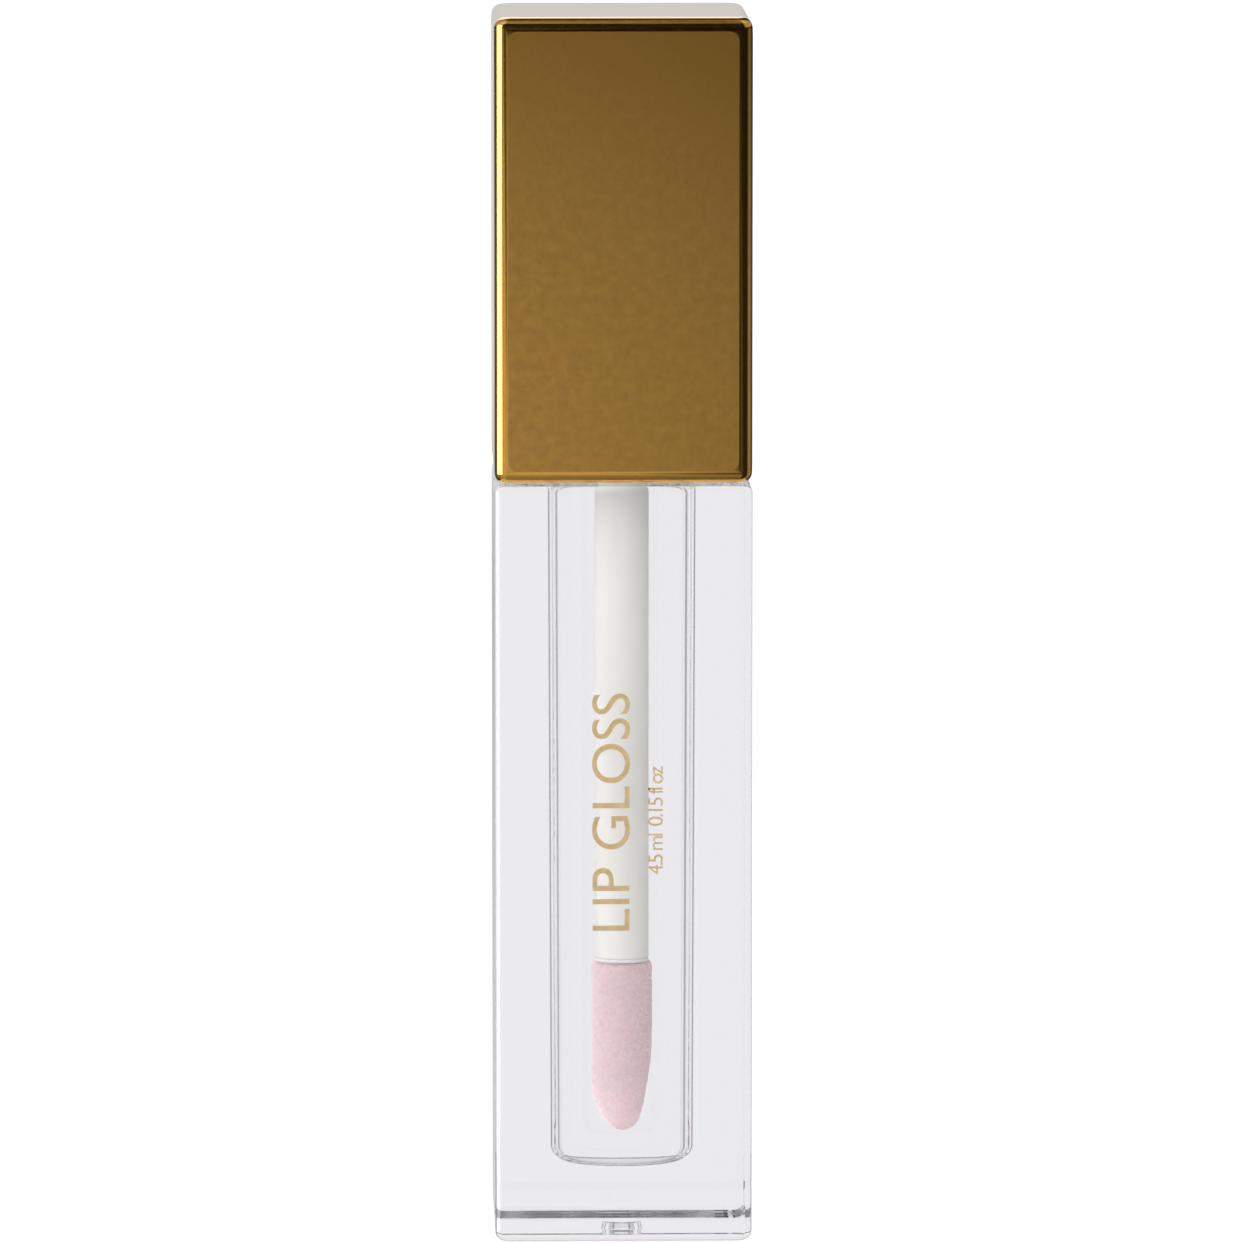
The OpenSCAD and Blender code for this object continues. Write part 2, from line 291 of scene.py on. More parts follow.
# ---------------------------------------------------------------------------------------------
# Gloss: clear, thick liquid that fills the bore up into the neck. Its level is above the shoulder,
# and it climbs a little up the wall at the rim of its surface.
# ---------------------------------------------------------------------------------------------
gloss_r = bore_r - GLOSS_GAP
gloss_floor_r = floor_r - GLOSS_GAP
CLIMB_LIP = 0.05 * MM    # the thin edge where the gloss meets the wall
CLIMB_W = 1.2 * MM       # how far in from the wall the surface is level again
CLIMB_H = 0.6 * MM
bm = bmesh.new()
spin_outline(bm, filleted(
    [(0, gloss_low.z, 0), (gloss_floor_r, gloss_low.z, BORE_CORNER_R - GLOSS_GAP), (gloss_r, shoulder_z, 0),
     (gloss_r, gloss_z, 0), (gloss_r - CLIMB_LIP, gloss_z, 0),
     (gloss_r - CLIMB_W, gloss_z - CLIMB_H, 0.8 * MM), (0, gloss_z - CLIMB_H, 0)], flats=10))
gloss = finished("clear_gloss", bm)

gloss_surface, tree, shader = material("gloss_surface")
shader.inputs["Base Color"].default_value = (0.99, 0.985, 0.975, 1)
shader.inputs["IOR"].default_value = 1.36
shader.inputs["Transmission Weight"].default_value = 1.0
tree.links.new(noise_value(tree, centred(tree), 200, 0.0, 0.01), shader.inputs["Roughness"])
bump(tree, shader, noise_value(tree, centred(tree), 300, 0, 1, 1.0), 0.05, 0.02 * MM)

gloss_body, tree, shader = material("gloss_against_wall")
shader.inputs["Base Color"].default_value = (1, 1, 1, 1)
shader.inputs["IOR"].default_value = 1.0
shader.inputs["Transmission Weight"].default_value = 1.0
shader.inputs["Roughness"].default_value = 0.0

gloss.data.materials.append(gloss_surface)
gloss.data.materials.append(gloss_body)
for face in gloss.data.polygons:
    if face.normal.z < 0.5:
        face.material_index = 1
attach(gloss, "bottle")
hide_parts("gloss")


# ---------------------------------------------------------------------------------------------
# Wiper: a soft milky plug pressed into the neck. Its flange lies on the rim, and its funnel ends
# in the narrow lip that strips the wand as it is drawn out.
# ---------------------------------------------------------------------------------------------
wiper_low, wiper_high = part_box("wiper")
flock_low, flock_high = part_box("flocked_tip")
LIP_GAP = 0.14 * MM      # between the lip and the wand
LIP_WALL = 0.4 * MM
WIPER_FIT = 0.02 * MM
BARREL_WALL = 0.8 * MM
BARREL_L = 5.5 * MM
FUNNEL_L = 3.5 * MM
orifice_r = flock_high.x + LIP_GAP
lip_r = orifice_r + LIP_WALL
barrel_r = bore_r - WIPER_FIT
barrel_in_r = barrel_r - BARREL_WALL
barrel_z = rim_z - BARREL_L
funnel_z = barrel_z - FUNNEL_L
bm = bmesh.new()
spin_outline(bm, filleted(
    [(orifice_r, funnel_z, 0), (barrel_in_r, barrel_z, 0.8 * MM), (barrel_in_r, wiper_high.z, 0.25 * MM),
     (wiper_high.x, wiper_high.z, 0.25 * MM), (wiper_high.x, rim_z, 0.12 * MM), (barrel_r, rim_z, 0.04 * MM),
     (barrel_r, barrel_z, 0.6 * MM), (lip_r, funnel_z, 0.6 * MM), (lip_r, wiper_low.z, 0.2 * MM),
     (orifice_r, wiper_low.z, 0.2 * MM), (orifice_r, funnel_z, 0)], flats=6))
wiper = finished("neck_wiper", bm)

soft_plastic, tree, shader = material("milky_soft_plastic")
shader.inputs["IOR"].default_value = 1.35
shader.inputs["Transmission Weight"].default_value = 0.55
milky = tree.nodes.new("ShaderNodeMixRGB")
milky.inputs["Color1"].default_value = (0.70, 0.71, 0.72, 1)
milky.inputs["Color2"].default_value = (0.80, 0.81, 0.82, 1)
tree.links.new(noise_value(tree, centred(tree), 700, 0, 1), milky.inputs["Fac"])
tree.links.new(milky.outputs["Color"], shader.inputs["Base Color"])
tree.links.new(noise_value(tree, centred(tree), 900, 0.12, 0.22), shader.inputs["Roughness"])
bump(tree, shader, noise_value(tree, centred(tree), 2500, 0, 1), 0.2, 0.01 * MM)
wiper.data.materials.append(soft_plastic)
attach(wiper, "bottle")
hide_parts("wiper")


# ---------------------------------------------------------------------------------------------
# Print: gold foil, hot-stamped on the front of the bottle and read from the foot upwards. A large
# line says what the tube holds, and a small one gives its contents.
# ---------------------------------------------------------------------------------------------
FOIL_T = 0.02 * MM
LARGE_LINE = {"cap_height": 2.95 * MM, "length": 18.6 * MM, "baseline_x": 0.5 * MM, "foot_z": 24.6 * MM}
SMALL_LINE = {"cap_height": 1.16 * MM, "length": 8.5 * MM, "baseline_x": 3.06 * MM, "foot_z": 29.0 * MM}
SPACING_UNIT = 0.6       # roughly how much longer one gap grows for each unit of letter spacing
front_y = bottle_low.y


def foil_line(words, cap_height, length, baseline_x, foot_z):
    """Letters of the given height, spread over the given length, standing proud of the front."""
    curve = bpy.data.curves.new(words, "FONT")
    curve.body = words
    curve.extrude = 0.5      # any depth will do, as it becomes FOIL_T below
    text = bpy.data.objects.new(words, curve)
    bpy.context.scene.collection.objects.link(text)
    for _ in range(3):
        bpy.context.view_layer.update()
        size = text.dimensions
        wanted = length * size.y / cap_height
        curve.space_character += (wanted - size.x) / (len(words) - 1) / SPACING_UNIT
    bpy.context.view_layer.update()
    mesh = bpy.data.meshes.new_from_object(text.evaluated_get(bpy.context.evaluated_depsgraph_get()))
    bpy.data.objects.remove(text)
    bpy.data.curves.remove(curve)
    xs = [v.co.x for v in mesh.vertices]
    ys = [v.co.y for v in mesh.vertices]
    zs = [v.co.z for v in mesh.vertices]
    across = cap_height / (max(ys) - min(ys))
    along = length / (max(xs) - min(xs))
    for v in mesh.vertices:
        out = (v.co.z - min(zs)) / (max(zs) - min(zs)) * FOIL_T
        v.co = Vector((baseline_x - (v.co.y - min(ys)) * across, front_y - out,
                       foot_z + (v.co.x - min(xs)) * along))
    return mesh


bm = bmesh.new()
for line in (foil_line("LIP GLOSS", **LARGE_LINE), foil_line("4.5 ml  0.15 fl oz", **SMALL_LINE)):
    bm.from_mesh(line)
    bpy.data.meshes.remove(line)
bmesh.ops.remove_doubles(bm, verts=bm.verts[:], dist=MERGE)
printing = finished("foil_print", bm)

foil, tree, shader = material("gold_foil")
shader.inputs["Metallic"].default_value = 0.55
gold = tree.nodes.new("ShaderNodeMixRGB")
gold.inputs["Color1"].default_value = (0.60, 0.43, 0.22, 1)
gold.inputs["Color2"].default_value = (0.72, 0.54, 0.30, 1)
tree.links.new(noise_value(tree, centred(tree), 1500, 0, 1), gold.inputs["Fac"])
tree.links.new(gold.outputs["Color"], shader.inputs["Base Color"])
tree.links.new(noise_value(tree, centred(tree), 3000, 0.3, 0.5), shader.inputs["Roughness"])
bump(tree, shader, noise_value(tree, centred(tree), 6000, 0, 1), 0.15, 0.005 * MM)
printing.data.materials.append(foil)
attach(printing, "bottle")


# ---------------------------------------------------------------------------------------------
# Sealing washer: a foam ring round the rod's flange, squeezed between the wiper's flange and the
# inner cap's roof.
# ---------------------------------------------------------------------------------------------
washer_low, washer_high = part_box("sealing_washer")
rod_low, rod_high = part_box("wand_rod")
WASHER_GAP = 0.2 * MM    # round the rod's flange
WASHER_EDGE_R = 0.2 * MM
washer_in_r = rod_high.x + WASHER_GAP
washer_mid_z = (washer_low.z + washer_high.z) / 2
bm = bmesh.new()
spin_outline(bm, filleted(
    [(washer_in_r, washer_mid_z, 0), (washer_in_r, washer_high.z, WASHER_EDGE_R),
     (washer_high.x, washer_high.z, WASHER_EDGE_R), (washer_high.x, washer_low.z, WASHER_EDGE_R),
     (washer_in_r, washer_low.z, WASHER_EDGE_R), (washer_in_r, washer_mid_z, 0)]))
washer = finished("foam_washer", bm)

foam, tree, shader = material("closed_cell_foam")
shader.inputs["Base Color"].default_value = (0.78, 0.78, 0.75, 1)
shader.inputs["Roughness"].default_value = 0.7
cells = tree.nodes.new("ShaderNodeTexVoronoi")
cells.inputs["Scale"].default_value = 6000
tree.links.new(centred(tree), cells.inputs["Vector"])
bump(tree, shader, cells.outputs["Distance"], 0.5, 0.05 * MM)
washer.data.materials.append(foam)
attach(washer, "seal")
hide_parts("sealing_washer")


# ---------------------------------------------------------------------------------------------
# Wand rod: a white moulded stem. Its flange sits under the inner cap's roof, its snap head holds
# above the roof, and its lower end is bored for the tip's peg.
# ---------------------------------------------------------------------------------------------
FLANGE_T = 0.9 * MM
FLANGE_FIT = 0.03 * MM   # between the flange and the roof
HEAD_H = 0.9 * MM
HEAD_RIM_H = 0.25 * MM
HEAD_STEP = 0.35 * MM    # how far the snap head stands out from the rod
PEG_HOLE_R = 1.13 * MM
PEG_HOLE_L = 6.06 * MM
rod_r = 4.7 / 2 * MM
roof_z = washer_high.z
flange_r = rod_high.x
flange_z = roof_z - FLANGE_FIT - FLANGE_T
head_z = rod_high.z - HEAD_H
peg_hole_z = rod_low.z + PEG_HOLE_L
bm = bmesh.new()
spin_outline(bm, filleted(
    [(0, peg_hole_z, 0), (PEG_HOLE_R, peg_hole_z, 0.1 * MM), (PEG_HOLE_R, rod_low.z, 0.08 * MM),
     (rod_r, rod_low.z, 0.12 * MM), (rod_r, flange_z, 0.4 * MM), (flange_r, flange_z, 0.15 * MM),
     (flange_r, flange_z + FLANGE_T, 0.15 * MM), (rod_r, flange_z + FLANGE_T, 0), (rod_r, head_z, 0),
     (rod_r + HEAD_STEP, head_z, 0.1 * MM), (rod_r + HEAD_STEP, head_z + HEAD_RIM_H, 0.1 * MM),
     (rod_r - 0.1 * MM, rod_high.z, 0.1 * MM), (0, rod_high.z, 0)]))
rod = finished("white_rod", bm)

rod_plastic, tree, shader = material("white_rod_plastic")
shader.inputs["IOR"].default_value = 1.49
shader.inputs["Subsurface Weight"].default_value = 0.12
shader.inputs["Subsurface Radius"].default_value = (1, 1, 1)
shader.inputs["Subsurface Scale"].default_value = 0.5 * MM
white = tree.nodes.new("ShaderNodeMixRGB")
white.inputs["Color1"].default_value = (0.87, 0.855, 0.80, 1)
white.inputs["Color2"].default_value = (0.91, 0.895, 0.845, 1)
tree.links.new(noise_value(tree, centred(tree, (1, 1, 0.15)), 500, 0, 1), white.inputs["Fac"])
tree.links.new(white.outputs["Color"], shader.inputs["Base Color"])
tree.links.new(noise_value(tree, centred(tree, (1, 1, 0.2)), 900, 0.3, 0.42), shader.inputs["Roughness"])
bump(tree, shader, noise_value(tree, centred(tree, (1, 1, 0.1)), 1500, 0, 1), 0.12, 0.01 * MM)
rod.data.materials.append(rod_plastic)
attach(rod, "wand")
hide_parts("wand_rod")


# ---------------------------------------------------------------------------------------------
# Tip core: a moulded white insert. A peg holds it in the rod, a thin collar shows below the rod,
# and the blade below that carries the flock.
# ---------------------------------------------------------------------------------------------
_, core_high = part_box("tip_core")
tip_r = flock_high.x
tip_top = flock_high.z
tip_foot = flock_low.z
CORE_INSET = 0.42 * MM   # set back from the flock's surface
PEG_R = 1.1 * MM
SLANT = math.radians(12)
SLANT_H = 6.0 * MM
SLANT_SOFT = 0.4 * MM
NOSE_L = 4.2 * MM


def tip_outline(inset, flats=14):
    """Half outline of the round-nosed tip, from its nose up to its top, set back by inset."""
    radius = tip_r - inset
    points = [Vector((0, tip_foot + inset))]
    for i in range(1, flats + 1):
        angle = math.pi / 2 * i / flats
        points.append(Vector((radius * math.sin(angle),
                              tip_foot + inset + (NOSE_L - inset) * (1 - math.cos(angle)))))
    return points


def slanted(bm, inset):
    """Presses the side at +X back to the slanted face, as a soft bend and not a cut."""
    start = tip_foot + SLANT_H + SLANT_SOFT / math.tan(SLANT)
    for vert in bm.verts:
        limit = tip_r - inset + SLANT_SOFT - max(0, start - vert.co.z) * math.tan(SLANT)
        over = vert.co.x - limit
        if over > SLANT_SOFT:
            vert.co.x = limit
        elif over > -SLANT_SOFT:
            vert.co.x -= (over + SLANT_SOFT) ** 2 / (4 * SLANT_SOFT)


bm = bmesh.new()
core_outline = tip_outline(CORE_INSET) + [Vector((tip_r - CORE_INSET, tip_top))] + filleted(
    [(tip_r - CORE_INSET, tip_top, 0), (rod_r, tip_top, 0.08 * MM), (rod_r, rod_low.z, 0.08 * MM),
     (PEG_R, rod_low.z, 0), (PEG_R, core_high.z, 0.2 * MM), (0, core_high.z, 0)])[1:]
spin_outline(bm, core_outline)
slanted(bm, CORE_INSET)
core = finished("tip_core_insert", bm)

core_plastic, tree, shader = material("white_core_plastic")
shader.inputs["Base Color"].default_value = (0.88, 0.86, 0.86, 1)
shader.inputs["IOR"].default_value = 1.49
tree.links.new(noise_value(tree, centred(tree), 900, 0.3, 0.45), shader.inputs["Roughness"])
bump(tree, shader, noise_value(tree, centred(tree), 2000, 0, 1), 0.1, 0.01 * MM)
core.data.materials.append(core_plastic)
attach(core, "cap")
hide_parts("tip_core")


# ---------------------------------------------------------------------------------------------
# Flocked tip: short pink nylon fibres glued to the core, which make a velvety sleeve with a
# round nose and one slanted side.
# ---------------------------------------------------------------------------------------------
ROW = 0.09 * MM
FIBRE = 0.14 * MM
FLOCK_T = 0.4 * MM       # from its surface to the core's side of it
FLOCK_TOP_R = 0.38 * MM
bm = bmesh.new()
skin = tip_outline(0, flats=56)
top_round = filleted([(tip_r, skin[-1].y, 0), (tip_r, tip_top, FLOCK_TOP_R),
                      (tip_r - FLOCK_T, tip_top, 0)], flats=6)
rows = round((top_round[1].y - skin[-1].y) / ROW)
side = [skin[-1].lerp(top_round[1], i / rows) for i in range(1, rows)]
inner = list(reversed(tip_outline(FLOCK_T, flats=20)))
spin_outline(bm, skin + side + top_round[1:] + inner, steps=216)
slanted(bm, 0)
bmesh.ops.recalc_face_normals(bm, faces=bm.faces[:])
bm.normal_update()
random.seed(11)
tufts = [(vert, vert.normal * FIBRE * (random.random() ** 3 - 0.3))
         for vert in bm.verts if vert.co.xy.length > 0]
for vert, tuft in tufts:
    vert.co += tuft
flock = finished("pink_flock", bm)

pink, tree, shader = material("pink_flock")
shader.inputs["Roughness"].default_value = 0.9
shader.inputs["Specular IOR Level"].default_value = 0.0
shader.inputs["Subsurface Weight"].default_value = 0.75
shader.inputs["Subsurface Radius"].default_value = (1, 0.7, 0.75)
shader.inputs["Subsurface Scale"].default_value = 1.0 * MM
shader.inputs["Sheen Weight"].default_value = 0.6
shader.inputs["Sheen Roughness"].default_value = 0.4
shader.inputs["Sheen Tint"].default_value = (1.0, 0.85, 0.89, 1)
tone = tree.nodes.new("ShaderNodeMixRGB")
tone.inputs["Color1"].default_value = (0.99, 0.60, 0.63, 1)
tone.inputs["Color2"].default_value = (1.0, 0.73, 0.745, 1)
tree.links.new(noise_value(tree, centred(tree), 4200, 0, 1), tone.inputs["Fac"])
tree.links.new(tone.outputs["Color"], shader.inputs["Base Color"])
bump(tree, shader, noise_value(tree, centred(tree), 6000, 0, 1), 0.1, 0.02 * MM)
flock.data.materials.append(pink)
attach(flock, "cap")
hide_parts("flocked_tip")


# ---------------------------------------------------------------------------------------------
# Inner cap: a natural white moulding glued inside the outer cap. A threaded sleeve, a roof that
# holds the rod, and a square foot and corner fins that centre it.
# ---------------------------------------------------------------------------------------------
inner_low, inner_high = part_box("inner_cap")
THREAD_PLAY = 0.25 * MM  # between the sleeve and the crest of the neck's thread
SLEEVE_WALL = 0.95 * MM
SLEEVE_LEAD = 0.5 * MM   # plain stretch where the outline starts, above the sleeve's foot
ROOF_FIT = 0.03 * MM
RIB_T = 1.2 * MM
PLATE_LIFT = 0.05 * MM
PLATE_CORNER_R = 0.2 * MM
INTO_SLEEVE = 0.3 * MM   # how deep a fin runs into the sleeve's wall
sleeve_in_r = neck_r + THREAD_DEPTH + THREAD_PLAY
sleeve_out_r = sleeve_in_r + SLEEVE_WALL
roof_hole_r = rod_r + ROOF_FIT
plate_z = (inner_low.z + PLATE_LIFT, inner_low.z + RIB_T)
plate_hole_r = sleeve_in_r + 0.4 * MM
bm = bmesh.new()
plate, _ = column(bm, inner_high.x, PLATE_CORNER_R, [(0, plate_z[0]), (0, plate_z[1])])
bmesh.ops.delete(bm, geom=[plate], context="FACES_ONLY")
spin_outline(bm, [Vector((plate_hole_r, z)) for z in plate_z])
for z, up in zip(plate_z, (-1, 1)):
    bmesh.ops.triangle_fill(bm, use_beauty=True, edges=rim_edges(bm, z), normal=(0, 0, up))
spin_outline(bm, filleted(
    [(sleeve_in_r, inner_low.z + SLEEVE_LEAD, 0)]
    + thread_rows(sleeve_in_r, *thread_span)
    + [(sleeve_in_r, roof_z, 0.2 * MM), (roof_hole_r, roof_z, 0.1 * MM),
       (roof_hole_r, inner_high.z, 0.1 * MM), (sleeve_out_r, inner_high.z, 0.3 * MM),
       (sleeve_out_r, inner_low.z, 0.1 * MM), (sleeve_in_r, inner_low.z, 0.25 * MM),
       (sleeve_in_r, inner_low.z + SLEEVE_LEAD, 0)]))
for vert in bm.verts:
    if inner_low.z < vert.co.z < roof_z and abs(vert.co.xy.length - sleeve_in_r) < NEAR:
        rise = THREAD_DEPTH * ridge_height(*vert.co, 180, thread_z)
        vert.co.xy *= (sleeve_in_r - rise) / sleeve_in_r
corner = inner_high.x * math.sqrt(2) - RIB_T / 2
reach = corner - sleeve_out_r + INTO_SLEEVE
for turn in range(4):
    fin = bmesh.ops.create_cube(bm, size=1.0)["verts"]
    bmesh.ops.scale(bm, verts=fin, vec=(reach, RIB_T, inner_high.z - inner_low.z - 0.2 * MM))
    bmesh.ops.translate(bm, verts=fin, vec=(corner - reach / 2, 0, (inner_high.z + inner_low.z) / 2))
    bmesh.ops.rotate(bm, verts=fin, cent=(0, 0, 0),
                     matrix=Matrix.Rotation(math.radians(45 + 90 * turn), 3, "Z"))
inner_cap = finished("inner_cap_liner", bm)

natural, tree, shader = material("natural_white_plastic")
shader.inputs["IOR"].default_value = 1.49
shader.inputs["Base Color"].default_value = (0.83, 0.83, 0.80, 1)
tree.links.new(noise_value(tree, centred(tree), 700, 0.35, 0.5), shader.inputs["Roughness"])
bump(tree, shader, noise_value(tree, centred(tree), 1800, 0, 1), 0.12, 0.01 * MM)
inner_cap.data.materials.append(natural)
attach(inner_cap, "cap")
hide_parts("inner_cap")


# ---------------------------------------------------------------------------------------------
# Outer cap: a square shell moulded in plastic, metallised in gold and lacquered. Its edges are
# soft, and its top is closed.
# ---------------------------------------------------------------------------------------------
CAP_WALL = 1.2 * MM
CAP_TOP = 1.4 * MM
EDGE_R = 0.85 * MM
CROWN = 0.03 * MM        # how far each flat panel stands out from its rounded frame
FRAME_W = 0.22 * MM
PANEL_CORNER_R = 0.8 * MM
half_cap = tube_w / 2 - CROWN
bm = bmesh.new()
column(bm, half_cap, EDGE_R - CROWN,
       [(CAP_WALL, cap_high.z - CAP_TOP), (CAP_WALL, cap_low.z)]
       + round_over(EDGE_R - CROWN, cap_low.z, "out", 10)
       + round_over(EDGE_R - CROWN, cap_high.z - CROWN, "in", 10),
       flats=10)
bmesh.ops.holes_fill(bm, edges=rim_edges(bm, cap_high.z - CROWN))
bmesh.ops.recalc_face_normals(bm, faces=bm.faces[:])
bm.normal_update()
panels = [f for f in bm.faces
          if f.calc_area() > (tube_w / 2) ** 2 and f.normal.z > -0.5
          and f.calc_center_median().dot(f.normal) > tube_w / 2 - 2 * CROWN]
for panel in panels:
    bmesh.ops.inset_individual(bm, faces=[panel], thickness=FRAME_W, depth=CROWN, use_even_offset=True)
    if abs(panel.normal.z) < 0.5:
        bmesh.ops.bevel(bm, geom=panel.verts[:], offset=PANEL_CORNER_R, segments=8, profile=0.5,
                        affect="VERTICES", material=-1)
outer_cap = finished("gold_cap", bm)

gold_finish, tree, shader = material("gold_metallised")
shader.inputs["Metallic"].default_value = 1.0
shader.inputs["Coat Weight"].default_value = 0.8
shader.inputs["Coat IOR"].default_value = 1.5
shader.inputs["Coat Roughness"].default_value = 0.04
warm = tree.nodes.new("ShaderNodeMixRGB")
warm.inputs["Color1"].default_value = (0.74, 0.385, 0.057, 1)
warm.inputs["Color2"].default_value = (0.78, 0.415, 0.065, 1)
tree.links.new(noise_value(tree, centred(tree), 2500, 0, 1), warm.inputs["Fac"])
tree.links.new(warm.outputs["Color"], shader.inputs["Base Color"])
tree.links.new(noise_value(tree, centred(tree), 1200, 0.10, 0.16), shader.inputs["Roughness"])
bump(tree, shader, noise_value(tree, centred(tree), 4000, 0, 1), 0.03, 0.004 * MM)

bare_plastic, tree, shader = material("bare_cap_plastic")
shader.inputs["Base Color"].default_value = (0.55, 0.55, 0.54, 1)
tree.links.new(noise_value(tree, centred(tree), 900, 0.35, 0.5), shader.inputs["Roughness"])
bump(tree, shader, noise_value(tree, centred(tree), 2500, 0, 1), 0.15, 0.01 * MM)

outer_cap.data.materials.append(gold_finish)
outer_cap.data.materials.append(bare_plastic)
for face in outer_cap.data.polygons:
    off_axis = max(abs(face.center.x), abs(face.center.y))
    if off_axis < tube_w / 2 - EDGE_R and face.center.z < cap_high.z - EDGE_R:
        face.material_index = 1

# A cheat: light that has passed through the clear plastic misses this cap, which keeps the gold out
# of the bottle's foot. A real cap would show there, and wherever it is seen through the plastic.
outer_cap.visible_transmission = False
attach(outer_cap, "cap")
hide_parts("cap_shell")


# ---------------------------------------------------------------------------------------------
# Floor: a plain pale table top, a hair below the foot. Reflections and light that has passed
# through the plastic miss it, and see the studio below the horizon in its place.
# ---------------------------------------------------------------------------------------------
FLOOR_R = 600 * MM
FLOOR_DROP = 0.05 * MM
bm = bmesh.new()
bmesh.ops.create_circle(bm, cap_ends=True, segments=128, radius=FLOOR_R)
bmesh.ops.translate(bm, verts=bm.verts[:], vec=(0, 0, -FLOOR_DROP))
floor = finished("floor", bm)

pale, tree, shader = material("pale_floor")
shader.inputs["Base Color"].default_value = (0.08, 0.08, 0.08, 1)
shader.inputs["Roughness"].default_value = 0.9
shader.inputs["Specular IOR Level"].default_value = 0.0
shader.inputs["Emission Color"].default_value = (1, 1, 1, 1)
shader.inputs["Emission Strength"].default_value = 0.94
floor.data.materials.append(pale)
floor.visible_transmission = False
floor.visible_glossy = False


# ---------------------------------------------------------------------------------------------
# Light: a white studio all round, which is three surrounds in one. Shiny faces see a darker room
# with a tall soft panel at the left, matt faces see plain white, and clear plastic shows the white
# along its four faces. A real studio gives all three the same light.
# ---------------------------------------------------------------------------------------------
scene = bpy.context.scene
studio = bpy.data.worlds.new("studio")
studio.use_nodes = True
scene.world = studio
studio.cycles.sampling_method = "NONE"
tree = studio.node_tree
background = tree.nodes["Background"]


def math_node(kind, a, b=None):
    """One Math node; a and b are sockets or numbers."""
    node = tree.nodes.new("ShaderNodeMath")
    node.operation = kind
    for socket, value in zip(node.inputs, (a, b)):
        if value is None:
            continue
        if isinstance(value, (int, float)):
            socket.default_value = value
        else:
            tree.links.new(value, socket)
    return node.outputs["Value"]


def ramp(value, stops):
    """A value that follows straight lines between (place, level) stops."""
    result = None
    for (x0, y0), (x1, y1) in zip(stops, stops[1:]):
        node = tree.nodes.new("ShaderNodeMapRange")
        node.inputs["From Min"].default_value = x0
        node.inputs["From Max"].default_value = x1
        node.inputs["To Min"].default_value = 0 if result else y0
        node.inputs["To Max"].default_value = y1 - y0 if result else y1
        tree.links.new(value, node.inputs["Value"])
        step = node.outputs["Result"]
        result = math_node("ADD", result, step) if result else step
    return result


def choose(factor, no, yes):
    """no where factor is 0, yes where it is 1."""
    return math_node("ADD", math_node("MULTIPLY", no, math_node("SUBTRACT", 1, factor)),
                     math_node("MULTIPLY", yes, factor))


direction = tree.nodes.new("ShaderNodeTexCoord").outputs["Generated"]
axes = tree.nodes.new("ShaderNodeSeparateXYZ")
tree.links.new(direction, axes.inputs["Vector"])
x, y, z = axes.outputs
bearing = math_node("DEGREES", math_node("ARCTAN2", math_node("MULTIPLY", x, -1),
                                         math_node("MULTIPLY", y, -1)))
height = math_node("DEGREES", math_node("ARCSINE", z))

# What shiny faces see, by bearing from the front, left positive, and by height above the horizon:
# a dim room, a white wall behind, the panel, and a grey sky at both sides of the room.
PANEL_LEVEL = 5
room = ramp(height, [(-80, 0.5), (-50, 0.42), (-25, 0.5), (-6.2, 0.56), (-4.8, 0.54), (-3.6, 0.22),
                     (-2, 0.06), (6, 0.04), (51, 0.03), (58, 0.62), (82, 0.55), (90, 0.1)])
side = ramp(bearing, [(-150, 0.1), (-115, 0.3), (-100, 0.7), (-80, 0.7), (-60, 0.05), (-20, 0.06),
                      (-4, 0.25), (-0.7, 0.9), (3, 1.2), (20, 1.3), (100, 0.5), (140, 0.1)])
behind = math_node("MULTIPLY", ramp(bearing, [(-176, 1), (-171, 0), (154, 0), (164, 1)]),
                   ramp(height, [(-14, 0), (-10, 0.58), (-6.6, 0.4), (-5.6, 0.62), (6, 0.62), (9, 1.3),
                                 (42, 1.3), (48, 0)]))
panel = math_node("MULTIPLY", ramp(bearing, [(32, 0), (36, 1), (88, 1), (94, 0)]),
                  ramp(height, [(-13, 0), (-10, 1), (35, 1), (45, 0)]))
sky = math_node("MULTIPLY", ramp(math_node("ABSOLUTE", bearing), [(25, 0), (45, 1), (140, 1), (160, 0)]),
                ramp(height, [(8, 0), (16, 0.5)]))
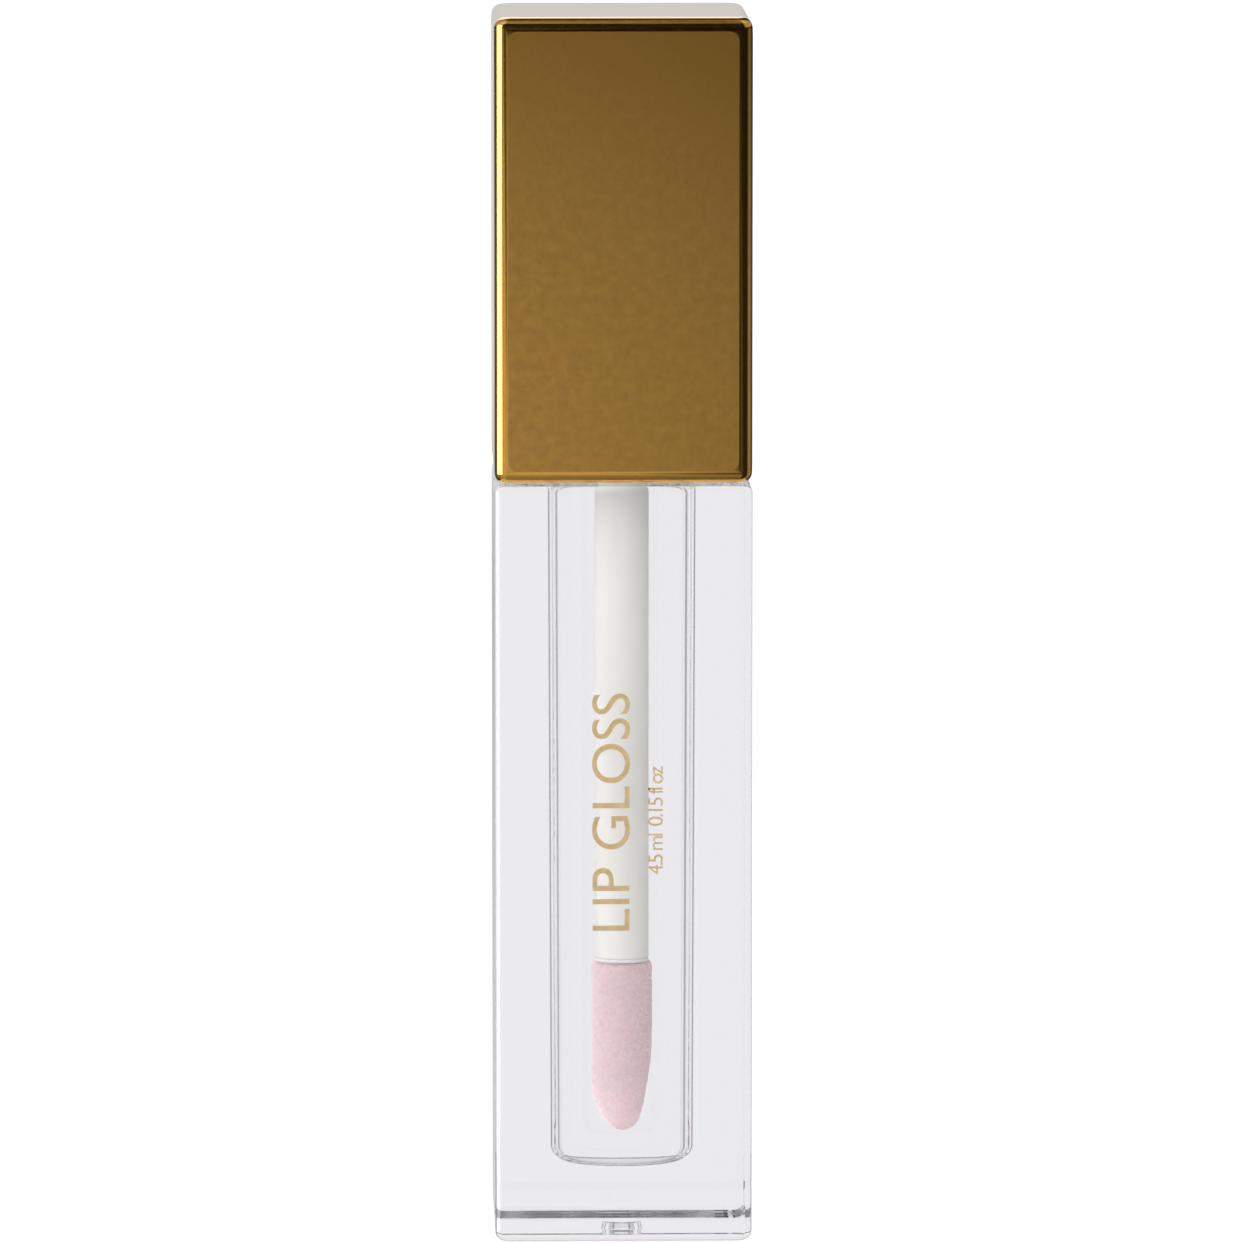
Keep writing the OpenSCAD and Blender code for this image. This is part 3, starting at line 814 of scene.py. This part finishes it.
shiny = math_node("ADD", math_node("ADD", math_node("MULTIPLY", room, side), sky),
                  math_node("ADD", math_node("MULTIPLY", panel, PANEL_LEVEL), behind))

# What matt faces see: white, strongest a little to the left and weakest from the right.
matt = ramp(x, [(-1, 2.0), (-0.1, 2.6), (0.4, 1.3), (1, 0.5)])

# What shows through clear plastic: white along the four faces, and grey between them.
quarter = math_node("FLOORED_MODULO", math_node("ADD", bearing, 45), 90)
off_face = math_node("ABSOLUTE", math_node("SUBTRACT", quarter, 45))
through = math_node("MULTIPLY", ramp(off_face, [(34, 1.0), (38, 0.4)]),
                    ramp(height, [(-88, 0.5), (-78, 1), (42, 1), (65, 0.1)]))

BACKDROP_LEVEL = 1.05
path = tree.nodes.new("ShaderNodeLightPath")
level = choose(path.outputs["Is Transmission Ray"], shiny, through)
level = choose(path.outputs["Is Camera Ray"], level, BACKDROP_LEVEL)
level = choose(math_node("GREATER_THAN", path.outputs["Diffuse Depth"], 0.5), level, matt)
tree.links.new(level, background.inputs["Strength"])
background.inputs["Color"].default_value = (1, 1, 1, 1)

scene.view_settings.view_transform = "Standard"
scene.cycles.max_bounces = 32
scene.cycles.transmission_bounces = 32
scene.cycles.glossy_bounces = 16
scene.cycles.sample_clamp_indirect = 10


# ---------------------------------------------------------------------------------------------
# Camera: a long lens, a little above the tube and a little to its left.
# ---------------------------------------------------------------------------------------------
AZIMUTH = math.radians(-1.317)
ELEVATION = math.radians(6.87)
DISTANCE = 0.820
target = Vector((0.07 * MM, 0, 47.61 * MM))
toward = Vector((math.sin(AZIMUTH) * math.cos(ELEVATION), -math.cos(AZIMUTH) * math.cos(ELEVATION),
                 math.sin(ELEVATION)))
lens = bpy.data.cameras.new("camera")
lens.lens = 302.8
lens.sensor_width = 36
lens.clip_start = 0.01
lens.clip_end = 10
camera = bpy.data.objects.new("camera", lens)
camera.location = target + toward * DISTANCE
camera.rotation_euler = (-toward).to_track_quat("-Z", "Y").to_euler()
scene.collection.objects.link(camera)
scene.camera = camera

bpy.context.view_layer.update()
